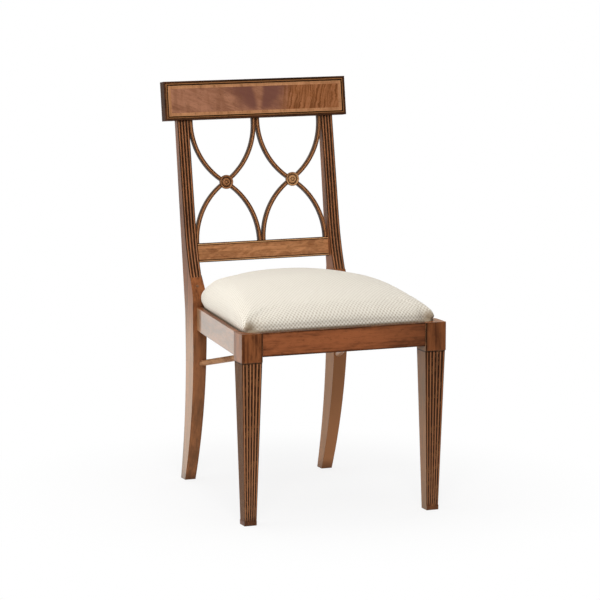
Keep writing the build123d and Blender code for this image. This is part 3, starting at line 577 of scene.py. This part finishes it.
def banding_wood():
    strip = PolishedWood(
        "crest_cross_banding", turn=(0, 0, 0), shift=(0.6, 0.2, 0.2),
        light=(0.6, 0.28, 0.13, 1), dark=(0.42, 0.18, 0.08, 1), edge=None,
    )
    strip.lay(ease(strip.tree, crest_inset(strip), 0.0108, 0.0116, 0.6, 0.0), stringing)
    return strip.finish(gloss=0.25)


def curl_place(tree, across, up):
    """A place made of its own two coordinates."""
    join = tree.nodes.new("ShaderNodeCombineXYZ")
    wire(tree, across, join.inputs["X"])
    wire(tree, up, join.inputs["Z"])
    return join.outputs[0]


def crest_veneer_wood():
    veneer = PolishedWood(
        "crest_figured_veneer", turn=(0, 68, 0), shift=(0.9, 0.4, 0.5),
        light=(0.44, 0.195, 0.11, 1), dark=(0.27, 0.108, 0.058, 1), edge=None,
    )
    tree = veneer.tree
    low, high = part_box("crest_veneer")
    x, _, z = veneer.axes()
    rise = calc(tree, "DIVIDE", minus(tree, z, low.z), high.z - low.z)
    wander = cloud(tree, turned(tree, veneer.place, size=(24, 1, 34)), detail=4, rough=0.65)
    wander = calc(tree, "MULTIPLY_ADD", wander, 0.07, -0.035)
    aside = calc(tree, "ABSOLUTE", minus(tree, x, veneer_middle))
    feather_half = calc(tree, "MULTIPLY_ADD", rise, 0.008, -0.001)
    lobe_half = calc(tree, "MULTIPLY_ADD", rise, 0.045, 0.034)
    past_feather = minus(tree, calc(tree, "ADD", aside, times(tree, wander, 0.2)), feather_half)
    past_lobe = minus(tree, calc(tree, "ADD", aside, wander), lobe_half)
    veneer.lay(ease(tree, x, 0.05, 0.1, 0.0, 0.6), veneer_right)
    lobes = ease(tree, past_feather, -0.001, 0.012)
    lobes = times(tree, lobes, ease(tree, past_lobe, -0.026, 0.022, 1.0, 0.0))
    lobes = times(tree, lobes, ease(tree, rise, -0.1, 0.2))
    veneer.lay(times(tree, lobes, 0.9), veneer_lobe)
    lean = calc(tree, "MULTIPLY_ADD", rise, -0.012, x)
    curl = calc(tree, "MULTIPLY_ADD", wander, 0.35, lean)
    curl_grain = turned(tree, curl_place(tree, curl, z), size=(190, 1, 9))
    streaks = cloud(tree, curl_grain, detail=3, rough=0.6)
    right = ease(tree, x, 0.05, 0.09, 0.0, 0.85)
    veneer.lay(times(tree, ease(tree, streaks, 0.4, 0.62), right), veneer_curl)
    flame = cloud(tree, turned(tree, veneer.place, (0, 40, 0), (70, 1, 13)), detail=3, rough=0.6)
    left = ease(tree, x, -0.05, 0.0, 0.4, 0.0)
    veneer.lay(times(tree, ease(tree, flame, 0.45, 0.65), left), veneer_flame)
    return veneer.finish(gloss=0.25)


dress(node["crest_rail"], crest_border_wood())
dress(node["crest_banding"], banding_wood())
dress(node["crest_veneer"], crest_veneer_wood())

# Lower back rail
# A narrow mahogany rail is tenoned between the posts. It has a thin rubbed bead along each edge
# and a straight-grained veneer between the beads.

lower_bottom, lower_top, bead_width = 0.088, 0.132, 0.004
bead_polish, veneer_blotch = (0.78, 0.42, 0.19, 1), (0.15, 0.045, 0.014, 1)


def lower_inset(wood, margin):
    """Distance in from a line at this margin from the rail's nearer edge."""
    height = up_the_back(wood)
    over = minus(wood.tree, height, lower_bottom + margin)
    return calc(wood.tree, "MINIMUM", over, minus(wood.tree, lower_top - margin, height))


def lower_rail_wood():
    rail = PolishedWood(
        "lower_rail_mahogany", turn=(0, 90, 0), shift=(0.1, 0.5, 0.8),
        light=mahogany_light, dark=mahogany_dark, edge=None,
    )
    tree = rail.tree
    on_front = rail.front_face(0.2, 0.6)
    rail.lay(times(tree, on_front, 0.95), bead_polish)
    edge_line = ease(tree, lower_inset(rail, 0.0), 0.0018, 0.0022, 1.0, 0.0)
    rail.lay(times(tree, edge_line, on_front), dark_polish_and_shade)
    # Darker on the top face.
    rail.lay(ease(tree, rail.facing()[2], 0.4, 0.7, 0.0, 0.9), dark_polish_and_shade)
    return rail.finish(gloss=0.15)


def lower_veneer_wood():
    veneer = PolishedWood(
        "lower_rail_veneer_wood", turn=(0, 90, 0), shift=(0.7, 0.5, 0.3),
        light=(0.58, 0.26, 0.11, 1), dark=(0.22, 0.074, 0.025, 1), edge=None,
    )
    tree = veneer.tree
    inset = lower_inset(veneer, bead_width)
    veneer.lay(ease(tree, inset, 0.0014, 0.0024, 0.9, 0.0), dark_polish_and_shade)
    blotch_place = turned(tree, veneer.place, size=(26, 1, 60))
    blotch = cloud(tree, blotch_place, detail=4, rough=0.6, bend=0.6)
    veneer.lay(ease(tree, blotch, 0.5, 0.66, 0.0, 0.5), veneer_blotch)
    return veneer.finish(gloss=0.25)


dress(node["lower_back_rail"], lower_rail_wood())
dress(node["lower_rail_veneer"], lower_veneer_wood())

# Lattice bars
# Four thin mahogany ogee bars, of two arcs each, are half-lapped in pairs and tenoned into the
# rails above and below. Each carries three fine reeds with dark polish and painted shade between
# them, a painted highlight along the middle reed and painted shade along its edges.

bar_foot, bar_head = 0.132, 0.4055
bar_inner, bar_outer = 0.0047, 0.1581
bar_half, bar_reeds = 0.0045, 3
bar_light, bar_dark = (0.3, 0.1, 0.032, 1), (0.07, 0.018, 0.006, 1)
# Painted highlight along the middle reed of a bar.
painted_bar_highlight = (0.58, 0.25, 0.1, 1)


def apart(tree, first, second):
    """The length of a step with these two sides."""
    squares = calc(tree, "ADD", calc(tree, "POWER", first, 2.0), calc(tree, "POWER", second, 2.0))
    return calc(tree, "SQRT", squares)


def off_the_line(bar, rising):
    """Distance from the middle line of a bar, which is two arcs of one radius."""
    tree = bar.tree
    half_rise, half_reach = (bar_head - bar_foot) / 2, (bar_outer - bar_inner) / 2
    radius = (half_rise ** 2 + half_reach ** 2) / (2 * half_reach)
    left_centre, right_centre = bar_outer - radius, bar_inner + radius
    lower_centre, upper_centre = left_centre, right_centre
    if rising:
        lower_centre, upper_centre = right_centre, left_centre
    aside = calc(tree, "ABSOLUTE", bar.axes()[0])
    height = up_the_back(bar)
    offs = []
    for centre_x, centre_height in ((lower_centre, bar_foot), (upper_centre, bar_head)):
        far = apart(tree, minus(tree, aside, centre_x), minus(tree, height, centre_height))
        offs.append(calc(tree, "ABSOLUTE", minus(tree, far, radius)))
    upper = calc(tree, "GREATER_THAN", height, (bar_foot + bar_head) / 2)
    return blended(tree, upper, offs[0], offs[1])


def bar_wood(name, rising):
    bar = PolishedWood(
        name, turn=(-8.6, 0, 0), shift=(0.3, 0.1, 0.4 if rising else 0.9),
        light=bar_light, dark=bar_dark, edge=None,
    )
    tree = bar.tree
    off = off_the_line(bar, rising)
    on_front = bar.front_face(0.2, 0.5)
    stain_reeds(bar, reed_shade(tree, calc(tree, "DIVIDE", off, bar_half), bar_reeds), on_front)
    # Painted highlight along the middle reed.
    bar.lay(times(tree, ease(tree, off, 0.0008, 0.0014, 0.85, 0.0), on_front), painted_bar_highlight)
    # Painted shade along the edges of the bar.
    bar.lay(ease(tree, off, 0.0027, 0.0038, 0.0, 0.9), dark_polish_and_shade)
    return bar.finish(gloss=0.15)


rising_wood = bar_wood("lattice_mahogany_rising", True)
falling_wood = bar_wood("lattice_mahogany_falling", False)
dress(node["lattice_bar_right_rising"], rising_wood)
dress(node["lattice_bar_left_falling"], rising_wood)
dress(node["lattice_bar_right_falling"], falling_wood)
dress(node["lattice_bar_left_rising"], falling_wood)

# Rosettes
# A turned mahogany bullseye is pinned over each crossing of the bars by its own spigot.
# Its hollows hold dark polish.

hollow_rings = ((0.0166, 0.0026), (0.0106, 0.0026), (0.0042, 0.0013))


def rosette_wood(side, light, dark):
    disc = PolishedWood(
        "rosette_mahogany_" + side, turn=(90, 0, 0), shift=(0.2, 0.6, 0.1),
        light=light, dark=dark, edge=None,
    )
    tree = disc.tree
    low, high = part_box("rosette_" + side)
    x, _, z = disc.axes()
    far = apart(tree, minus(tree, x, (low.x + high.x) / 2), minus(tree, z, (low.z + high.z) / 2))
    for ring, width in hollow_rings:
        near = calc(tree, "ABSOLUTE", minus(tree, far, ring))
        disc.lay(ease(tree, near, 0.0, width, 0.95, 0.0), dark_polish_and_shade)
    return disc.finish()


dress(node["rosette_left"], rosette_wood("left", (0.46, 0.2, 0.08, 1), (0.28, 0.105, 0.04, 1)))
dress(node["rosette_right"], rosette_wood("right", (0.64, 0.34, 0.15, 1), (0.44, 0.2, 0.08, 1)))

# Brace rods
# A turned mahogany rod on each side is socketed into the rear leg and runs up to the back of the
# front rail.

# The rods' mahogany is lighter than the rest of the chair: a painted highlight.
for side, turn in (("left", -19), ("right", 19)):
    rod = PolishedWood(
        "rod_mahogany_" + side, turn=(76, 0, turn), shift=(0.4, 0.3, 0.2),
        light=(0.48, 0.25, 0.12, 1), dark=(0.27, 0.115, 0.05, 1),
    )
    dress(node["brace_rod_" + side], rod.finish())

# Corner blocks and screws
# Plain sawn blocks, unpolished, stiffen the corners between the seat rails.
# Two steel screws hold each block to its rails.

dull_steel, bright_steel = (0.2, 0.18, 0.16, 1), (0.5, 0.48, 0.45, 1)


def sawn_wood(name, light, dark):
    plain = PolishedWood(name, turn=(0, 90, 0), shift=(0.2, 0.3, 0.1), light=light, dark=dark)
    return plain.finish(edge_share=0.0, relief=0.0004, matt=0.45)


def screw_steel():
    material, tree, shader, place = start_material("corner_screw_steel")
    dull = cloud(tree, turned(tree, place, size=(700, 700, 700)), detail=3)
    colour = tint(tree, dull, dull_steel, bright_steel)
    wire(tree, colour, shader.inputs["Base Color"])
    wire(tree, ease(tree, dull, 0.3, 0.7, 0.3, 0.55), shader.inputs["Roughness"])
    shader.inputs["Metallic"].default_value = 1.0
    return material


block_wood = sawn_wood("corner_block_wood", (0.5, 0.33, 0.17, 1), (0.36, 0.21, 0.1, 1))
for place in ("front_left", "front_right", "rear_left", "rear_right"):
    dress(node["corner_block_" + place], block_wood)
dress(node["corner_block_screws"], screw_steel())

# Seat frame and webbing
# The loose seat is built on four half-lapped softwood rails. Jute webbing is stretched over them
# both ways under the pad, and black cloth lines the underside.

seat_frame_wood = sawn_wood("seat_frame_wood", (0.56, 0.38, 0.2, 1), (0.42, 0.26, 0.13, 1))
for place in ("front", "rear", "left", "right"):
    dress(node["seat_frame_" + place], seat_frame_wood)


def woven(tree, along, across, pitch):
    """Height of a plain weave: threads over and under each other at this pitch."""
    rounds = 2 * math.pi / pitch
    warp = calc(tree, "SINE", times(tree, along, rounds))
    weft = calc(tree, "SINE", times(tree, across, rounds))
    return calc(tree, "MULTIPLY_ADD", times(tree, warp, weft), 0.5, 0.5)


def plain_cloth(name, light, dark, pitch):
    material, tree, shader, place = start_material(name)
    x, y, _ = parts_of(tree, place)
    threads = woven(tree, x, y, pitch)
    wire(tree, tint(tree, threads, dark, light), shader.inputs["Base Color"])
    raise_surface(tree, shader, threads, 0.6, 0.0004)
    shader.inputs["Roughness"].default_value = 0.9
    return material


jute = plain_cloth("jute_webbing", (0.46, 0.33, 0.18, 1), (0.28, 0.18, 0.09, 1), 0.003)
dress(node["seat_webbing_cross"], jute)
dress(node["seat_webbing_long"], jute)
lining = plain_cloth("black_lining", (0.035, 0.034, 0.033, 1), (0.012, 0.012, 0.012, 1), 0.002)
dress(node["seat_dust_cover"], lining)

# Seat cushion
# Cream cloth is drawn over a domed pad and down round the seat frame, so its sides pull in
# towards the rails. It has a small woven diamond figure. Painted shadow darkens the cloth just
# above the rails, and painted shade the fronts beside the front corners.

cream, beige = (0.86, 0.81, 0.71, 1), (0.45, 0.38, 0.29, 1)
# Painted shadow just above the rails, and painted shade beside the front corners.
painted_rail_shadow, painted_fold_shade = (0.16, 0.105, 0.06, 1), (0.36, 0.28, 0.19, 1)
diamond_pitch = 0.0085
rails_front, rails_top, rails_top_middle, rails_fall = -0.23215, 0.422, 0.4172, 0.02078
fold_x, fold_y = 0.212, -0.258
corner_x, corner_y = 0.2252, -0.2603
skirt_drop = 0.018
cloth_voxel = 0.005
held_below = 0.003
cloth_pressure, cloth_frames, puff_most = 4.0, 20, 0.0025
ridge_out, ridge_in, ridge_size, ridge_share = 0.0065, 0.005, 0.014, 0.7
tuck_depth, tuck_aside, tuck_width, tuck_reach = 0.009, 0.026, 0.012, 0.025
fold_height, rail_clearance = 0.045, 0.01
bulge_out, bulge_over, bulge_height, bulge_y, bulge_length = 0.006, 0.025, 0.022, 0.06, 0.12
bulge_from_x = 0.17


def cushion_cloth():
    material, tree, shader, place = start_material("cream_diamond_cloth")
    x, y, z = parts_of(tree, place)
    surface = tree.nodes.new("ShaderNodeNewGeometry")
    facing_x, facing_y, facing_z = parts_of(tree, surface.outputs["Normal"])
    steep = ease(tree, calc(tree, "ABSOLUTE", facing_z), 0.7, 0.85, 1.0, 0.0)
    sideways = ease(tree, calc(tree, "ABSOLUTE", facing_x), 0.5, 0.65)
    on_front = woven(tree, x, z, diamond_pitch)
    upright = blended(tree, sideways, on_front, woven(tree, y, z, diamond_pitch))
    diamonds = blended(tree, steep, woven(tree, x, y, diamond_pitch), upright)
    slub = cloud(tree, turned(tree, place, size=(240, 240, 240)), detail=3, rough=0.6)
    figure = ease(tree, calc(tree, "MULTIPLY_ADD", slub, 0.4, diamonds), 0.25, 0.95)
    low_down = ease(tree, z, 0.425, 0.49, 0.88, 0.36)
    gaps = times(tree, minus(tree, 1.0, figure), low_down)
    colour = tint(tree, gaps, cream, beige)
    over = calc(tree, "MULTIPLY_ADD", y, rails_fall, minus(tree, z, rails_top_middle))
    # Painted shadow just above the rails.
    colour = tint(tree, ease(tree, over, 0.0, 0.006, 0.85, 0.0), colour, painted_rail_shadow)
    # Painted shade on the fronts beside the front corners.
    aside = minus(tree, calc(tree, "ABSOLUTE", x), fold_x)
    far = apart(tree, aside, minus(tree, y, fold_y))
    crease, around = ease(tree, far, 0.004, 0.022, 0.7, 0.0), ease(tree, far, 0.01, 0.07, 0.3, 0.0)
    fold = calc(tree, "ADD", crease, around)
    fold = times(tree, fold, ease(tree, times(tree, facing_y, -1.0), 0.3, 0.65))
    fold = times(tree, fold, ease(tree, over, 0.006, 0.045, 1.0, 0.0))
    colour = tint(tree, fold, colour, painted_fold_shade)
    wire(tree, colour, shader.inputs["Base Color"])
    raise_surface(tree, shader, figure, 0.6, 0.0006)
    shader.inputs["Roughness"].default_value = 0.9
    shader.inputs["Sheen Weight"].default_value = 0.15
    shader.inputs["Specular IOR Level"].default_value = 0.2
    return material


def sewn_cushion():
    """The cloth shell: the pad's form run down over the seat frame."""
    shell = bmesh.new()
    shell.from_mesh(node["seat_foam"].data)
    bmesh.ops.remove_doubles(shell, verts=shell.verts, dist=0.00002)
    below = [f for f in shell.faces if f.normal.z < -0.99]
    skirt = bmesh.ops.extrude_face_region(shell, geom=below)
    lowered = [v for v in skirt["geom"] if isinstance(v, bmesh.types.BMVert)]
    bmesh.ops.translate(shell, verts=lowered, vec=(0, 0, -skirt_drop))
    bmesh.ops.delete(shell, geom=below, context="FACES")
    mesh = bpy.data.meshes.new("seat_cushion")
    shell.to_mesh(mesh)
    shell.free()
    cushion = bpy.data.objects.new("seat_cushion", mesh)
    bpy.context.scene.collection.objects.link(cushion)
    return cushion


def applied(piece):
    """Bake a piece's modifiers into its mesh."""
    depsgraph = bpy.context.evaluated_depsgraph_get()
    mesh = bpy.data.meshes.new_from_object(piece.evaluated_get(depsgraph))
    piece.modifiers.clear()
    old = piece.data
    piece.data = mesh
    bpy.data.meshes.remove(old)


def over_rails(place):
    """Height above the rails' tops, which fall towards the rear."""
    return place.z - rails_top + (place.y - rails_front) * rails_fall


def puff(piece, most):
    """Fill the cloth from inside; no point moves further than the limit."""
    skin = piece.modifiers.new("skin", "REMESH")
    skin.mode = "VOXEL"
    skin.voxel_size = cloth_voxel
    applied(piece)
    start = [v.co.copy() for v in piece.data.vertices]
    held = piece.vertex_groups.new(name="held")
    at_rails = [v.index for v in piece.data.vertices if over_rails(v.co) < held_below]
    held.add(at_rails, 1.0, "REPLACE")
    cloth = piece.modifiers.new("cloth", "CLOTH")
    cloth.settings.vertex_group_mass = "held"
    cloth.settings.use_pressure = True
    cloth.settings.uniform_pressure_force = cloth_pressure
    cloth.settings.effector_weights.gravity = 0.0
    cloth.settings.tension_stiffness = 20
    cloth.settings.bending_stiffness = 0.4
    for step in range(1, cloth_frames + 1):
        bpy.context.scene.frame_set(step)
    applied(piece)
    bpy.context.scene.frame_set(1)
    for v, old in zip(piece.data.vertices, start):
        moved = v.co - old
        if moved.length > most:
            v.co = old + moved.normalized() * most
    smooth = piece.modifiers.new("smooth", "SUBSURF")
    smooth.levels = 1
    smooth.render_levels = 1
    applied(piece)


def hump(*offsets):
    """1 in the middle, falling away with the offsets from it."""
    return math.exp(-sum(offset ** 2 for offset in offsets))


def draw_tight(piece):
    """Draw the cloth out to a ridge at each front corner and in beside it; the sides bulge.
    Cloth between the rails stays clear of them."""
    for v in piece.data.vertices:
        over = over_rails(v.co)
        if over < 0.0:
            continue
        low = hump(over / fold_height)
        clear = min(over / rail_clearance, 1.0)
        clear = clear ** 2 * (3 - 2 * clear)
        out = math.copysign(1.0, v.co.x)
        aside = corner_x - abs(v.co.x)
        behind = v.co.y - corner_y
        ridge = ridge_out * low * clear
        ridge *= hump((aside - ridge_in) / ridge_size, (behind - ridge_in) / ridge_size)
        tuck = tuck_depth * low * hump((aside - tuck_aside) / tuck_width, behind / tuck_reach)
        bulge = bulge_out * clear * min(abs(v.co.x) / bulge_from_x, 1.0) ** 4
        bulge *= hump((over - bulge_over) / bulge_height, (v.co.y - bulge_y) / bulge_length)
        v.co.x += out * (ridge * ridge_share + bulge)
        v.co.y += tuck - ridge * ridge_share


cushion = sewn_cushion()
puff(cushion, puff_most)
draw_tight(cushion)
for polygon in cushion.data.polygons:
    polygon.use_smooth = True
dress(cushion, cushion_cloth())
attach(cushion, "seat")
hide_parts("seat_cover", "seat_foam")

# Studio
# A white floor under a pale room, and three soft lamps: one on the left, one above, and the
# strongest in front.

floor_half, floor_back = 20.0, 19.15
floor_paper = (0.92, 0.92, 0.92, 1)
white, warm_white = (1, 1, 1, 1), (1.0, 0.9, 0.75, 1)


def seen_directly(tree, ray):
    """1 for rays from the camera, and through mirrors and glass."""
    seen = calc(tree, "ADD", ray.outputs["Is Camera Ray"], ray.outputs["Is Glossy Ray"])
    return calc(tree, "ADD", seen, ray.outputs["Is Transmission Ray"], clamp=True)


def mixed_shader(tree, share, first, second, target):
    """Mix two shaders into an output."""
    both = tree.nodes.new("ShaderNodeMixShader")
    wire(tree, share, both.inputs["Fac"])
    wire(tree, first.outputs[0], both.inputs[1])
    wire(tree, second.outputs[0], both.inputs[2])
    wire(tree, both.outputs[0], target)


def white_floor():
    material = bpy.data.materials.new("studio_white")
    material.use_nodes = True
    tree = material.node_tree
    tree.nodes.clear()
    put = tree.nodes.new("ShaderNodeOutputMaterial")
    paper = tree.nodes.new("ShaderNodeBsdfDiffuse")
    paper.inputs["Color"].default_value = floor_paper
    glow = tree.nodes.new("ShaderNodeEmission")
    glow.inputs["Strength"].default_value = 1.0
    seen = seen_directly(tree, tree.nodes.new("ShaderNodeLightPath"))
    away = tree.nodes.new("ShaderNodeVectorMath")
    away.operation = "LENGTH"
    wire(tree, tree.nodes.new("ShaderNodeTexCoord").outputs["Object"], away.inputs[0])
    glow_share = ease(tree, away.outputs["Value"], 0.35, 0.8, 0.82, 1.0)
    mixed_shader(tree, times(tree, seen, glow_share), paper, glow, put.inputs["Surface"])
    return material


def studio_air():
    world = bpy.data.worlds.new("studio_air")
    world.use_nodes = True
    air = world.node_tree
    air.nodes.clear()
    put = air.nodes.new("ShaderNodeOutputWorld")
    behind = parts_of(air, air.nodes.new("ShaderNodeTexCoord").outputs["Generated"])[1]
    light = air.nodes.new("ShaderNodeBackground")
    light.inputs["Color"].default_value = white
    wire(air, ease(air, behind, -0.3, 0.5, 0.12, 0.7), light.inputs["Strength"])
    ray = air.nodes.new("ShaderNodeLightPath")
    backdrop = air.nodes.new("ShaderNodeBackground")
    colour = tint(air, ray.outputs["Is Camera Ray"], warm_white, white)
    wire(air, colour, backdrop.inputs["Color"])
    mirrored = ease(air, behind, -0.3, 0.3, 0.12, 1.0)
    strength = calc(air, "MAXIMUM", mirrored, ray.outputs["Is Camera Ray"])
    wire(air, strength, backdrop.inputs["Strength"])
    mixed_shader(air, seen_directly(air, ray), light, backdrop, put.inputs["Surface"])
    return world


def lamp(name, place, aim, size, power):
    data = bpy.data.lights.new(name, "AREA")
    data.shape = "SQUARE"
    data.size = size
    data.energy = power
    light = bpy.data.objects.new(name, data)
    light.location = place
    light.rotation_euler = (Vector(aim) - Vector(place)).to_track_quat("-Z", "Y").to_euler()
    bpy.context.scene.collection.objects.link(light)


sheet = bmesh.new()
bmesh.ops.create_grid(sheet, x_segments=1, y_segments=1, size=floor_half)
bmesh.ops.translate(sheet, verts=sheet.verts, vec=(0, floor_back, 0))
floor_mesh = bpy.data.meshes.new("floor")
sheet.to_mesh(floor_mesh)
sheet.free()
floor = bpy.data.objects.new("floor", floor_mesh)
bpy.context.scene.collection.objects.link(floor)
dress(floor, white_floor())
bpy.context.scene.world = studio_air()
lamp("left_softbox", place=(-3.1, 0.5, 0.6), aim=(0, 0, 0.5), size=2.0, power=42)
lamp("top_softbox", place=(-0.2, -0.4, 3.2), aim=(0, 0, 0.4), size=2.4, power=32)
lamp("front_fill", place=(-1.5, -3.9, 2.9), aim=(0, 0, 0.5), size=2.0, power=122)

# Camera
# A long lens from the front, a little to the left and above, as in the photograph.

camera_place = (-2.6735, -6.5718, 1.5491)
camera_turn, camera_down, camera_roll = -22.2, 8.86, 0.11

photo_lens = bpy.data.cameras.new("photo_camera")
photo_lens.sensor_width = 36.0
photo_lens.lens = 192.0
photo_lens.clip_end = 100.0
photo_camera = bpy.data.objects.new("photo_camera", photo_lens)
bpy.context.scene.collection.objects.link(photo_camera)
photo_turn = (
    Matrix.Rotation(math.radians(camera_turn), 4, "Z")
    @ Matrix.Rotation(math.radians(90 - camera_down), 4, "X")
    @ Matrix.Rotation(math.radians(camera_roll), 4, "Z")
)
photo_camera.matrix_world = Matrix.Translation(camera_place) @ photo_turn
bpy.context.scene.camera = photo_camera
bpy.context.scene.view_settings.view_transform = "Standard"
